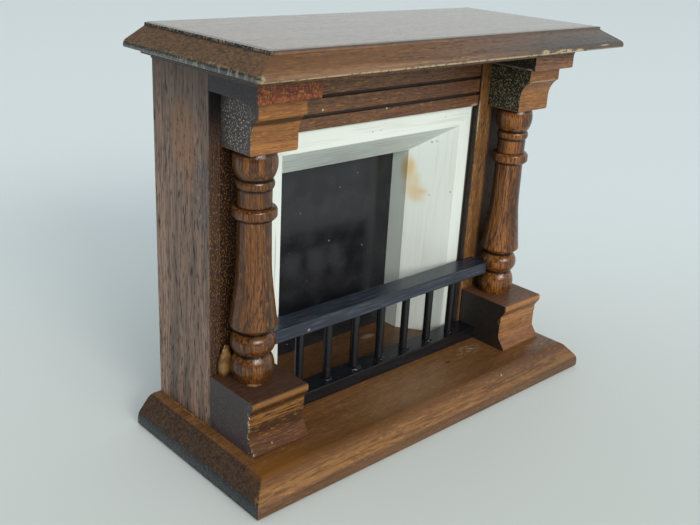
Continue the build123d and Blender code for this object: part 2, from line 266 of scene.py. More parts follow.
def stained_hardwood(name, grain, light, deep, gold=0.5, pores=1.0, seed=0.0, figure=1.0, streaks=1.0,
                     slant=None, end_light=None, end_deep=None, end_dots=0.6, roughness=0.42, coat=0.0,
                     coat_roughness=0.12, coat_index=1.5, coat_relief=0.0, specular=0.5, arris=0.0,
                     coarse=1.0, marks=()):
    """Open-pored hardwood, sawn and sanded, wiped with a thin brown stain.

    The eye sees broad bands and long fine streaks along the grain, dark dashes
    where stain sits in the pores and golden flecks between them. A face cut
    aslant shows the fibres as specks, and a sawn end is slate dark with dots.
    """
    sizes = bpy.context.scene.surround_sizes
    colours = bpy.context.scene.surround_colours
    material, tree, place = new_material(name)

    # a face seen nearly edge on hides marks as fine as the real ones, so there they are drawn coarser
    grain_width = sizes.grain_width * coarse
    pore_width = sizes.pore_width * coarse
    drifted = wandering(tree, place, seed)
    long_way = drawn_out(tree, drifted, grain, grain_width / sizes.streak_length)
    pore_way = drawn_out(tree, drifted, grain, sizes.pore_width / sizes.pore_length)
    bands, lines, dashes, flecks = [
        add_node(tree, "TexNoise", {"Vector": way, "Scale": scale, "Detail": detail, "Roughness": rough,
                                    "W": seed + shift}, noise_dimensions="4D").outputs["Fac"]
        for way, scale, detail, rough, shift in (
            (long_way, 1 / sizes.figure_width, 2, 0.5, 3), (long_way, 0.9 / grain_width, 2, 0.6, 7),
            (pore_way, 0.45 / pore_width, 1, 0.5, 11), (pore_way, 0.4 / pore_width, 2, 0.5, 17))]
    contrast = 0.22 / figure
    shade, thin, sparks, holes = [
        add_node(tree, "MapRange", {0: pattern, 1: low, 2: high, 3: 0.0, 4: strength}, **SMOOTH).outputs[0]
        for pattern, low, high, strength in (
            (bands, 0.5 - contrast, 0.5 + contrast, 1.0), (lines, 0.44, 0.64, 0.75 * streaks),
            (flecks, 0.54, 0.72, gold), (dashes, 0.55, 0.68, 0.8 * pores))]
    layers = [(shade, opaque(light)), (thin, opaque(deep)), (sparks, opaque(colours.stain_gold)),
              (holes, opaque(colours.pore))]
    layers += across_grain(tree, place, grain, flecks, seed, slant or (light, deep),
                           end_light or colours.end_light, end_deep or colours.end_deep, end_dots)
    if arris:
        rubbed = add_node(tree, "TexNoise", {"Vector": place, "Scale": 1 / (1.3 * MM), "Detail": 3.0})
        bare = add_node(tree, "MapRange", {0: rubbed.outputs["Fac"], 1: 0.62 - 0.25 * arris,
                                           2: 0.70 - 0.2 * arris, 3: 0.0, 4: 0.8}, **SMOOTH)
        layers.append((bare.outputs[0], opaque(colours.raw_wood)))
    tone = marked(tree, layered(tree, opaque(deep), layers), place, marks)

    dull = add_node(tree, "MapRange", {0: dashes, 1: 0.45, 2: 0.66, 3: roughness, 4: roughness + 0.2})
    depth = add_node(tree, "Math", {0: holes, 1: thin}, operation="ADD")
    shader = surfaced(tree, tone, dull.outputs[0], 1.5, depth.outputs[0], 0.5, 0.08, {
        "Coat Weight": coat, "Coat Roughness": coat_roughness, "Coat IOR": coat_index,
        "Specular IOR Level": specular})
    if coat_relief:
        # the film sinks a little into the pores, which breaks up what it mirrors
        sunk = add_node(tree, "Bump", {"Strength": coat_relief, "Distance": 0.05 * MM, "Height": flecks},
                        invert=True)
        tree.links.new(sunk.outputs[0], shader.inputs["Coat Normal"])
    return material


def finish(node_name, *materials):
    """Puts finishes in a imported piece's own slots."""
    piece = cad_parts[node_name]
    for index, material in enumerate(materials):
        if index < len(piece.material_slots):
            piece.material_slots[index].material = material
        else:
            piece.data.materials.append(material)
    return piece


def rub_arrises(piece, width=None):
    """Takes the sharp arrises off a cut board; the second slot colours them."""
    weld = piece.modifiers.new("joined_faces", "WELD")
    weld.merge_threshold = 0.002 * MM
    edge = piece.modifiers.new("rubbed_arrises", "BEVEL")
    edge.width = width or bpy.context.scene.surround_sizes.arris_width
    edge.segments = 2
    edge.limit_method = "ANGLE"
    edge.angle_limit = 0.6
    edge.material = 1 if len(piece.material_slots) > 1 else 0
    level = piece.modifiers.new("even_shading", "WEIGHTED_NORMAL")
    level.keep_sharp = False


# Paint and glue

def brushed_white_paint(name, strokes, ridges=1.0, marks=()):
    """White water-based paint, brushed on bare wood: soft sheen, ridges along each stroke."""
    sizes = bpy.context.scene.surround_sizes
    colours = bpy.context.scene.surround_colours
    material, tree, place = new_material(name)
    along = drawn_out(tree, place, strokes, 0.03)
    bristles = add_node(tree, "TexNoise", {"Vector": along, "Scale": 0.6 / sizes.bristle_width,
                                           "Detail": 3.0, "Roughness": 0.6})
    coats = add_node(tree, "TexNoise", {"Vector": along, "Scale": 1 / (4 * MM), "Detail": 2.0})
    thin = add_node(tree, "MapRange", {0: bristles.outputs["Fac"], 1: 0.48, 2: 0.66, 3: 0.0,
                                       4: 0.9 * ridges}, **SMOOTH)
    patchy = add_node(tree, "MapRange", {0: coats.outputs["Fac"], 1: 0.35, 2: 0.7, 3: 0.3, 4: 1.0})
    amount = add_node(tree, "Math", {0: thin.outputs[0], 1: patchy.outputs[0]}, operation="MULTIPLY")
    grit = round_specks(tree, place, sizes.grit_spacing, reach=0.055, bare=0.6)
    tone = layered(tree, opaque(colours.white_paint), [(amount.outputs[0], opaque(colours.white_shade)),
                                                       (grit, opaque("6f756c"))])
    tone = marked(tree, tone, place, marks)
    surfaced(tree, tone, 0.48, 1.48, bristles.outputs["Fac"], 0.5, 0.1)
    return material


def black_gloss_paint(name):
    """Black enamel on a thin board: an even gloss with dust caught in it as white specks."""
    sizes = bpy.context.scene.surround_sizes
    colours = bpy.context.scene.surround_colours
    material, tree, place = new_material(name)
    film = add_node(tree, "TexNoise", {"Vector": place, "Scale": 1 / (6 * MM), "Detail": 4.0})
    haze = add_node(tree, "MapRange", {0: film.outputs["Fac"], 1: 0.4, 2: 0.75, 3: 0.0, 4: 0.05})
    dust = round_specks(tree, place, sizes.dust_spacing, reach=0.07, bare=0.45)
    tone = layered(tree, opaque(colours.black_gloss), [(haze.outputs[0], opaque("8a8d92")),
                                                       (dust, opaque("9a9da0"))])
    gloss = add_node(tree, "MapRange", {0: film.outputs["Fac"], 1: 0.3, 2: 0.8, 3: 0.12, 4: 0.24})
    surfaced(tree, tone, gloss.outputs[0], 1.5, film.outputs["Fac"], 0.12, 0.15, invert=False)
    return material


def black_satin_paint(name, strokes, paint, ridge, marks=()):
    """Black satin paint brushed over bare wood: the ridges are drawn in a lighter, cool colour, a painted
    sheen.
    """
    sizes = bpy.context.scene.surround_sizes
    material, tree, place = new_material(name)
    along = drawn_out(tree, place, strokes, 0.05)
    bristles = add_node(tree, "TexNoise", {"Vector": along, "Scale": 0.7 / sizes.bristle_width,
                                           "Detail": 3.0, "Roughness": 0.65})
    lighter = add_node(tree, "MapRange", {0: bristles.outputs["Fac"], 1: 0.48, 2: 0.72, 3: 0.0, 4: 0.5},
                       **SMOOTH)
    bits = add_node(tree, "TexNoise", {"Vector": place, "Scale": 1 / (0.7 * MM), "Detail": 2.0})
    nibs = add_node(tree, "MapRange", {0: bits.outputs["Fac"], 1: 0.74, 2: 0.78, 3: 0.0, 4: 0.35})
    # painted sheen: the ridges drawn in the lighter ridge colour
    tone = layered(tree, opaque(paint), [(lighter.outputs[0], opaque(ridge)),
                                         (nibs.outputs[0], opaque("8d9096"))])
    tone = marked(tree, tone, place, marks)
    surfaced(tree, tone, 0.26, 1.5, bristles.outputs["Fac"], 0.7, 0.12)
    return material


def dried_glue(name):
    """Carpenter's glue dried in a bead: amber, slightly see-through, with a wet-looking skin."""
    colours = bpy.context.scene.surround_colours
    material, tree, place = new_material(name)
    clouds = add_node(tree, "TexNoise", {"Vector": place, "Scale": 1 / (1.6 * MM), "Detail": 3.0})
    depth = add_node(tree, "MapRange", {0: clouds.outputs["Fac"], 1: 0.35, 2: 0.68}, **SMOOTH)
    tone = layered(tree, opaque(colours.glue), [(depth.outputs[0], opaque("5f4424"))])
    surfaced(tree, tone, 0.3, 1.46, clouds.outputs["Fac"], 0.25, 0.1, {
        "Subsurface Weight": 0.25, "Subsurface Radius": (1.0, 0.6, 0.3), "Subsurface Scale": 0.6 * MM},
        invert=False)
    return material


# Shaped pieces

def mesh_piece(name, body, material):
    """Turns worked bmesh geometry into a smooth piece that rides on the surround."""
    data = bpy.data.meshes.new(name)
    body.normal_update()
    body.to_mesh(data)
    body.free()
    for face in data.polygons:
        face.use_smooth = True
    data.materials.append(material)
    piece = bpy.data.objects.new(name, data)
    bpy.context.scene.collection.objects.link(piece)
    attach(piece, "root")


def blob(body, centre, half_size, floor, uneven=0.3, seed=0.0, taper=0.0):
    """One drop shape in millimetres, uneven as laid by hand and flat where it rests; taper thins its top."""
    made = bmesh.ops.create_uvsphere(body, u_segments=24, v_segments=14, radius=1.0)
    for vertex in made["verts"]:
        push = 1 + uneven * noise.noise(vertex.co * 1.7 + Vector((seed, seed * 0.7, seed * 1.3)))
        thin = 1 - taper * vertex.co.z
        shaped = (vertex.co.x * thin, vertex.co.y * thin, vertex.co.z)
        vertex.co = Vector(c + h * p * push for c, h, p in zip(centre, half_size, shaped)) * MM
        vertex.co.z = max(vertex.co.z, floor * MM)


def bead_line(body, points, widths, heights, floor, segments=10):
    """A half-round bead laid on a level face through points given in millimetres."""
    rows = []
    for index, ((x, y), width, height) in enumerate(zip(points, widths, heights)):
        ahead = Vector(points[min(index + 1, len(points) - 1)])
        behind = Vector(points[max(index - 1, 0)])
        across = (ahead - behind).normalized().orthogonal()
        row = []
        for step in range(segments + 1):
            turn = math.pi * step / segments
            side = math.cos(turn) * width / 2
            row.append(body.verts.new(Vector((x + across.x * side, y + across.y * side,
                                              floor + math.sin(turn) * height)) * MM))
        rows.append(row)
    for here, there in zip(rows, rows[1:]):
        for step in range(segments):
            body.faces.new((here[step], here[step + 1], there[step + 1], there[step]))
        body.faces.new((here[segments], here[0], there[0], there[segments]))
    body.faces.new(rows[0])
    body.faces.new(list(reversed(rows[-1])))
    bmesh.ops.recalc_face_normals(body, faces=body.faces)


# Operators

class SURROUND_OT_mantel(bpy.types.Operator):
    """Stains the mantel shelf and the bed board under it, with the wear on the shelf's lower arris"""
    bl_idname = "surround.mantel"
    bl_label = "Mantel Shelf and Bed Board"

    def execute(self, context):
        colours = context.scene.surround_colours
        (left, front, foot), (_, _, top) = piece_box("mantel_shelf")
        bevel = left + 5.9
        worn = colours.raw_wood
        dusty = "8b876c"
        marks = [
            Mark((-44, front, foot + 2.35), (16, 6, 3.6), "9a7048", 0.25, soft=0.9),
            Mark((52, front, foot + 2.85), (38, 6, 4.5), "281a11", 0.9, soft=0.9),
            Mark((0, front, foot + 0.13), (63, 0.8, 0.3), worn, 0.75, spacing=1.1, share=0.75),
            Mark((left + 0.4, front + 0.4, foot + 0.65), (0.8, 1.3, 0.85), "9a9270", 0.75,
                 spacing=(1, 1, 0.6), share=0.85),
            Mark((26.6, front, foot + 0.75), (1.6, 0.8, 0.5), worn, 0.8, spacing=0.6, share=0.8),
            Mark((34.8, front, foot + 0.55), (3.4, 0.8, 0.45), worn, 0.85, spacing=0.7, share=0.8),
            Mark((41.4, front, foot + 0.4), (1.7, 0.8, 0.4), worn, 0.85, spacing=0.7, share=0.9),
            Mark((53.2, front, foot + 1.1), (1.9, 0.8, 0.16), worn, 0.7),
            Mark((left, -10, foot + 0.85), (0.8, 12, 1.1), dusty, 0.75, spacing=(0.7, 1, 3), share=0.3),
            Mark((left, 12, foot + 0.85), (0.8, 16, 1.1), dusty, 0.6, spacing=(0.4, 0.35, 0.6), share=0.2),
            Mark((bevel, 0, top - 0.3), (0.8, 90, 0.75), "26211e", 0.85),
            Mark((bevel, 0, top - 0.2), (0.9, 90, 0.6), "a08a6c", 0.7, spacing=(0.5, 0.4, 0.8), share=0.3),
            Mark((0, front + 4.7, top - 0.15), (ACROSS, 0.6, 0.4), "33261c", 0.6),
        ]
        shelf = stained_hardwood("brown_stained_hardwood_shelf", "X", "8c6544", "5f4028", gold=0.3,
                                 pores=0.6, seed=1.0, figure=0.8, streaks=1.2, slant=("8f6b45", "43362a"),
                                 end_light="6f6c54", end_deep="2a2d30", roughness=0.4, coat=1.0,
                                 coat_roughness=0.2, coat_relief=0.2, specular=0.3, marks=marks)
        bed = stained_hardwood("brown_stained_hardwood_bed_board", "X", colours.stain_light,
                               colours.stain_deep, gold=0.3, seed=9.0)
        finish("mantel_shelf", shelf)
        rub_arrises(finish("bed_board", bed))
        return {"FINISHED"}


class SURROUND_OT_case(bpy.types.Operator):
    """Stains the side panels, posts and frieze of the case"""
    bl_idname = "surround.case"
    bl_label = "Side Panels, Posts and Frieze"

    def execute(self, context):
        colours = context.scene.surround_colours
        outside, front, _ = piece_box("side_panel_left")[0]
        patch = "9a6a45"
        glints = Mark((-46.5, front, 47), (14, 0.5, 38), "96682f", 0.65, spacing=(0.32, 1, 0.6), share=0.12)
        side_marks = [
            Mark((outside, 13.5, 80), (1, 5, 8), patch, 0.6, spacing=0.9, share=0.75),
            Mark((outside, 10.5, 71), (1, 2.6, 6), patch, 0.45, spacing=0.9, share=0.7),
            Mark((outside, 6, 68), (1, 4, 9), "4c4a50", 0.55, spacing=1.2, share=0.7),
            Mark((outside, 14, 94), (1, 25, 9), "403733", 0.4, soft=0.9),
            # painted shade: the panel's front edge drawn dark like the shaded post beside it, and near black
            # under the capital block
            Mark((outside + 1.6, front - 0.3, 50), (6, 0.45, UPRIGHT), "2c1911", 0.9),
            Mark((outside + 1.6, front - 0.3, 90), (6, 0.45, 9), "0b0807", 0.95),
            glints,
        ]
        # the grey cast of the side panels' stain is a painted cool reflection and painted shade
        side = stained_hardwood("cool_sheen_painted_brown_hardwood_side_panel", "Z", colours.side_light,
                                colours.side_deep, gold=0.12, seed=21.0, figure=0.7, streaks=1.1,
                                roughness=0.5, coarse=1.35, marks=side_marks)
        side_edge = stained_hardwood("cool_sheen_painted_brown_hardwood_side_panel_arris", "Z", colours.side_light,
                                     colours.side_deep, gold=0.4, pores=0.6, seed=22.0, roughness=0.5,
                                     arris=0.25)

        inner, front, _ = piece_box("post_right")[0]
        post_marks = [
            Mark((inner, front, 76), (0.35, 0.35, 5), "c4b496", 0.8, spacing=(0.7, 0.7, 1.6), share=0.7),
            Mark((inner, front, 60), (0.3, 0.3, 14), "b59a6c", 0.6, spacing=(0.7, 0.7, 1.4), share=0.15),
            Mark((inner - 1.45, front, 79.9), (1.3, 1.2, 0.35), "c9bfa6", 0.8, spacing=0.5, share=0.8),
            # painted shadow of the right column on the post
            Mark((48.3, front, 50), (5, 0.6, UPRIGHT), "140e0c", 0.8, soft=0.15),
            # the post's near-black inner side: its dark stain with painted shade over it
            Mark((inner, front + 1.6, 50), (0.3, 1.4, UPRIGHT), "120d0c", 0.92),
        ]
        # the left post is drawn much darker than the right one: painted shade from the column, block and
        # plinth in front of it
        shade_painted_post = stained_hardwood("shade_painted_hardwood_post", "Z", "3d281c", "1c1310", gold=0.0,
                                     seed=35.0, roughness=0.55, specular=0.2, marks=[glints])
        post = stained_hardwood("brown_stained_hardwood_post", "Z", "9c6c40", "66431f", gold=0.6, seed=31.0,
                                roughness=0.5, marks=post_marks)

        _, face, foot = piece_box("frieze_board")[0]
        groove_levels = (foot + 8.1, foot + 3.5)
        frieze_marks = [
            Mark((-26.95, face, 84.2), (0.55, 0.6, 0.4), "d8d3c6", 0.9),
            Mark((-21.4, face, 84.25), (0.25, 0.6, 0.3), "d8d3c6", 0.9),
            Mark((0.7, face, 82.6), (0.3, 0.6, 0.35), "e0dccf", 0.9),
            Mark((inner - 1.65, face, foot + 0.4), (1.3, 0.6, 0.35), "c9bfa6", 0.8, spacing=0.5, share=0.8),
            Mark((27, face, 88), (17, 0.6, 12), "4a2418", 0.35, soft=0.9),
            # painted shade in the two grooves
            *[Mark((0, face + 0.85, level), (ACROSS, 0.55, 0.5), "120c0a", 0.9) for level in groove_levels],
        ]
        frieze = stained_hardwood("brown_stained_hardwood_frieze", "X", "8d5f3a", "553822", pores=0.7,
                                  seed=41.0, figure=0.5, marks=frieze_marks)
        for side_name in SIDES:
            rub_arrises(finish("side_panel_" + side_name, side, side_edge))
        finish("post_left", shade_painted_post)
        finish("post_right", post)
        finish("frieze_board", frieze)
        return {"FINISHED"}


class SURROUND_OT_capitals(bpy.types.Operator):
    """Stains the capital strips red-brown and the capital blocks orange-brown"""
    bl_idname = "surround.capitals"
    bl_label = "Capital Strips and Blocks"

    def execute(self, context):
        colours = context.scene.surround_colours
        inner, front, foot = piece_box("capital_strip_right")[0]
        left_front = ((-46.0, front, foot + 1.94), (16.0, 0.6, 4.0))
        strip_marks = [
            Mark(*left_front, "3a1a18", 0.45, spacing=(0.9, 1, 0.7), share=0.5),
            Mark(*left_front, "b9742e", 0.5, spacing=(0.45, 1, 0.7), share=0.2),
            Mark((inner, -4, foot), (0.4, 12, 0.25), "6c665e", 0.6),
            Mark((inner + 0.15, -12.6, foot + 0.14), (0.5, 0.8, 0.4), "c8a888", 0.7),
        ]
        left, front, foot = piece_box("capital_block_left")[0]
        quirk = front + 0.65
        block_marks = [
            Mark((left, -3, 85.5), (0.6, 5.5, 7), "c4c0b4", 0.7, spacing=(1, 0.4, 0.5), share=0.1),
            # painted shade along the top of the left block's cove
            Mark((-45.5, quirk, foot + 7.44), (12, 3, 0.75), "3a2414", 0.85, soft=0.4),
            # painted highlights along the arris above the cove, on the left block and on the right
            Mark((-44.8, quirk, foot + 8.54), (6.8, 3, 0.3), "c28f52", 0.5, soft=0.1),
            Mark((48, front, foot + 8.84), (7, 1.2, 0.3), "d0a88c", 0.5, soft=0.5),
        ]
        edge = stained_hardwood("orange_brown_hardwood_block_arris", "X", "b27a48", "7a5230", pores=0.4,
                                seed=62.0, slant=("8d7c66", "4c4038"), end_light="8d8a84",
                                end_deep="4c4644", roughness=0.38, arris=0.2)
        # each side's strip: light, deep, fibre ends, their ground and share; then its block's last three
        looks = {
            "left": (colours.red_light, colours.red_deep, "4c4b4d", "2c2b2e", 0.6, "b4b0a6", "403b3b", 0.5),
            "right": ("946444", "5e3f2c", "77745a", "1b1917", 0.85, "a09c72", "1b1917", 0.95),
        }
        for side_name in SIDES:
            light, deep, dots, ground, share, block_dots, block_ground, block_share = looks[side_name]
            strip = stained_hardwood("red_stained_mahogany_strip_" + side_name, "X", light, deep, pores=0.5,
                                     seed=51.0, figure=0.6, slant=(dots, ground), end_light=dots,
                                     end_deep=ground, end_dots=share, roughness=0.4, specular=0.4,
                                     marks=strip_marks)
            block = stained_hardwood("orange_brown_hardwood_block_" + side_name, "X", "ac733c", "6d4523",
                                     gold=0.55, pores=0.45, seed=61.0, figure=0.6, end_light=block_dots,
                                     end_deep=block_ground, end_dots=block_share, roughness=0.38,
                                     specular=0.4, marks=block_marks)
            rub_arrises(finish("capital_strip_" + side_name, strip))
            rub_arrises(finish("capital_block_" + side_name, block, edge))
        return {"FINISHED"}


class SURROUND_OT_plinths(bpy.types.Operator):
    """Stains the moulded plinths under the columns"""
    bl_idname = "surround.plinths"
    bl_label = "Plinths"

    def execute(self, context):
        colours = context.scene.surround_colours
        (left, front, foot), (_, _, top) = piece_box("plinth_left")
        chipped = "c8bfaa"
        marks = [
            Mark((-49.2, front + 1.55, foot + 1.84), (0.25, 2.5, 0.3), "b09c78", 0.6),
            Mark((-48.3, front + 2.35, foot + 4.84), (0.3, 1.5, 0.15), "b09c78", 0.4),
            Mark((0, -6, top), (ACROSS, 9.5, 0.25), "42302b", 0.6),
            Mark((0, front - 0.05, top - 0.8), (ACROSS, 1.1, 1), "b98444", 0.5, soft=0.5),
            Mark((0, front + 1.55, top - 2.9), (ACROSS, 1.4, 0.35), "3a2210", 0.6, soft=0.5),
            Mark((0, front + 2.15, top - 5.6), (ACROSS, 1, 1.7), "bb8440", 0.35, spacing=(6, 0.5, 0.35)),
            Mark((0, front + 1.15, foot + 1.34), (ACROSS, 3.5, 2.6), "54301c", 0.3, soft=0.8),
            Mark((left, front + 2.25, foot + 7.14), (0.3, 0.6, 6), chipped, 0.75, spacing=(0.5, 0.6, 0.6),
                 share=0.1),
            Mark((left, front + 0.55, foot + 1.74), (0.3, 0.7, 1.8), chipped, 0.7, spacing=(0.4, 0.5, 0.5),
                 share=0.2),
        ]
        edge = stained_hardwood("brown_stained_hardwood_plinth_arris", "X", "a8784a", colours.stain_deep,
                                gold=0.6, pores=0.6, seed=72.0, end_light="8a8178", end_deep="40393a",
                                roughness=0.4, arris=0.45)
        tones = {"left": ("6c431c", "341d0c", "6a6160", "3a3334"),
                 "right": ("a9744a", "74502f", "4a4444", "27221f")}
        for side_name in SIDES:
            light, deep, dots, ground = tones[side_name]
            plinth = stained_hardwood("brown_stained_hardwood_plinth_" + side_name, "X", light, deep,
                                      gold=0.35, pores=0.5, seed=71.0, figure=0.5, streaks=1.2,
                                      end_light=dots, end_deep=ground, roughness=0.4, specular=0.35,
                                      marks=marks)
            rub_arrises(finish("plinth_" + side_name, plinth, edge))
        return {"FINISHED"}


class SURROUND_OT_columns(bpy.types.Operator):
    """Varnishes the two turned columns"""
    bl_idname = "surround.columns"
    bl_label = "Turned Columns"

    def execute(self, context):
        colours = context.scene.surround_colours
        foot = piece_box("plinth_right")[1].z
        # painted shade in the grooves and under the block: levels above the plinth and half heights
        grooves = ((56.9, 0.6), (50.6, 0.4), (48.1, 0.35), (41.0, 0.4), (12.9, 0.4), (7.0, 0.45))
        marks = [Mark((0, 0, foot + level), (ACROSS, ACROSS, height), "0d0705", 0.85)
                 for level, height in grooves]
        # painted shade on the left side of the right column
        marks.append(Mark((42.8, 1, 50), (3.3, 3.6, UPRIGHT), "1a0f0a", 0.7, soft=0.4))
        # the left column is drawn darker and the right one lighter: painted shade and painted light from how
        # the window falls on them
        for side_name, share in zip(SIDES, (0.76, 1.2)):
            light, deep = [[share * value for value in tone]
                           for tone in (colours.turned_light, colours.turned_deep)]
            turned = stained_hardwood("varnished_turned_hardwood_" + side_name, "Z", light, deep, gold=0.25,
                                      pores=0.7, seed=81.0, streaks=1.2, end_light=light, end_deep=deep,
                                      roughness=0.4, coat=0.65, coat_roughness=0.07, coat_index=1.6,
                                      coat_relief=1.0, specular=0.1, marks=marks)
            finish("column_" + side_name, turned)
        return {"FINISHED"}


class SURROUND_OT_hearth(bpy.types.Operator):
    """Stains the hearth board, with its golden front slope"""
    bl_idname = "surround.hearth"
    bl_label = "Hearth Board"

    def execute(self, context):
        colours = context.scene.surround_colours
        (_, front, _), (_, _, top) = piece_box("hearth_board")
        past_ends = 160.0
        marks = [
            Mark((-30, front + 4.85, top - 0.36), (38, 4, 1.6), "5c3a12", 0.62, soft=0.7),
            Mark((0, front + 1.05, top - 2.66), (past_ends, 1.7, 1.9), "b08040", 0.33,
                 spacing=(9, 0.6, 0.6), share=0.6),
            Mark((0, front, 1.5), (past_ends, 0.6, 2), "33251b", 0.45),
            Mark((44, front + 2.25, top - 1.86), (26, 4, 2.6), "4a2f18", 0.4, soft=0.9),
            # painted shade on the hearth inside the opening, behind the fender
            Mark((0, 14, top), (27, 9, 0.3), "3a2b20", 0.45),
            Mark((-52, -21, top), (10, 4, 0.5), "865616", 0.45, soft=0.8),
            Mark((2, -14, top), (18, 8, 0.5), "957858", 0.35, soft=0.9),
            Mark((26, -18, top), (14, 7, 0.5), "553a22", 0.35, soft=0.9),
            Mark((12.4, 17, top), (2.4, 1.1, 0.3), "b0a99c", 0.35),
            Mark((30.5, -8, top), (5, 2.2, 0.3), "b8ab94", 0.5, spacing=(1.6, 0.45, 0.45), share=0.2),
            Mark((19.4, -9.7, top), (0.9, 0.5, 0.3), "1c1512", 0.7),
            Mark((27.8, front + 2.95, top - 0.86), (0.25, 0.25, 0.6), "c9bfa4", 0.6),
            Mark((42.6, -10.4, top), (0.8, 0.4, 0.3), "d8d3c6", 0.6),
        ]
        hearth = stained_hardwood("brown_stained_hardwood_hearth", "X", colours.stain_light,
                                  colours.stain_deep, gold=0.4, pores=0.4, seed=91.0, figure=0.5,
                                  streaks=0.8, slant=("5c4634", "2a1f1a"), end_light="626b60",
                                  end_deep="20242a", end_dots=0.7, roughness=0.36, coat=0.2,
                                  coat_roughness=0.25, specular=0.35, marks=marks)
        finish("hearth_board", hearth)
        return {"FINISHED"}


class SURROUND_OT_frame(bpy.types.Operator):
    """Paints the mitred frame of the fire opening white"""
    bl_idname = "surround.frame"
    bl_label = "White Frame"

    def execute(self, context):
        colours = context.scene.surround_colours
        jamb, face, _ = piece_box("frame_right")[0]
        post = piece_box("post_right")[0].x
        stain = [
            ((jamb, 17.9, 59.8), (0.5, 1.2, 3), 0.42),
            ((jamb + 0.1, 16.6, 59.6), (0.8, 2, 3.4), 0.6),
            ((jamb + 0.8, 15.6, 60.6), (1, 1.2, 2), 0.5),
            ((jamb + 1.4, 14.8, 57.2), (1.3, 1.8, 1.6), 0.4),
            ((jamb + 1.4, 14.8, 53.4), (2.2, 2.8, 2.3), 0.55),
            ((jamb + 3, 12.7, 53.1), (1.2, 1.6, 0.8), 0.4),
            ((jamb + 2.2, 13.6, 51), (1.6, 2.2, 1.2), 0.3),
        ]
        nibs = [((28.0, 11.44, 68.4), 0.7), ((28.8, 10.25, 68.8), 0.4), ((31.9, 6.1, 53.9), 0.45),
                ((28.2, 11.0, 52.3), 0.4), ((-2.4, face, 76.2), 0.45), ((0.6, face, 76.3), 0.4),
                ((26.1, face, 77.1), 0.35)]
        dirt = [Mark(centre, (0.26, 0.4, 0.26), "6b7068", strength) for centre, strength in nibs]
        upright_marks = [
            # painted light: the jamb's inner return drawn paler than the white paint
            Mark((jamb, 19.9, 40), (0.3, 3.3, 50), "f2fcf6", 0.9, soft=0.05),
            *[Mark(centre, half_size, colours.brown_mark, strength, soft=0.9)
              for centre, half_size, strength in stain],
            # painted shade: a near-black strip on the land beside the right post
            Mark((post - 0.05, face, 40), (0.62, 0.6, UPRIGHT), "17110f", 0.95, soft=0.15),
            Mark((-34, face, 47.8), (0.16, 0.5, 7), "7e827a", 0.6),
        ]
        brush_lines = Mark((0, 12, 69), (60, 6.5, 4.6), "858a80", 0.28, spacing=(9, 0.4, 0.4), share=0.45)
        upright = brushed_white_paint("brushed_white_paint_upright", "Z", ridges=0.3,
                                      marks=upright_marks + dirt)
        level = brushed_white_paint("brushed_white_paint_level", "X", ridges=0.6,
                                    marks=[brush_lines] + dirt)
        width = context.scene.surround_sizes.paint_arris_width
        for node_name, paint in (("frame_left", upright), ("frame_right", upright), ("frame_top", level)):
            rub_arrises(finish(node_name, paint), width)
        return {"FINISHED"}


class SURROUND_OT_back_panel(bpy.types.Operator):
    """Paints the panel behind the opening gloss black"""
    bl_idname = "surround.back_panel"
    bl_label = "Black Back Panel"

    def execute(self, context):
        finish("back_panel", black_gloss_paint("black_gloss_paint"))
        return {"FINISHED"}


class SURROUND_OT_fender(bpy.types.Operator):
    """Paints the fender's rails and balusters satin black"""
    bl_idname = "surround.fender"
    bl_label = "Fender"

    def execute(self, context):
        colours = context.scene.surround_colours
        front = piece_box("fender_top_rail")[0].y
        chip = Mark((-29.3, front, 29.8), (0.45, 0.6, 0.35), "8d8f92", 0.8)
        low = (colours.satin_low, colours.satin_low_ridge_sheen)
        # the top rail gets the lighter, bluer paint: a painted sheen
        finish("fender_top_rail", black_satin_paint("black_satin_paint_rail", "X", colours.satin_rail,
                                                    colours.satin_rail_ridge_sheen, marks=[chip]))
        finish("fender_bottom_rail", black_satin_paint("black_satin_paint_low_rail", "X", *low))
        turned = black_satin_paint("black_satin_paint_baluster", "Z", *low)
        for number in range(1, 8):
            finish(f"baluster_{number}", turned)
        return {"FINISHED"}


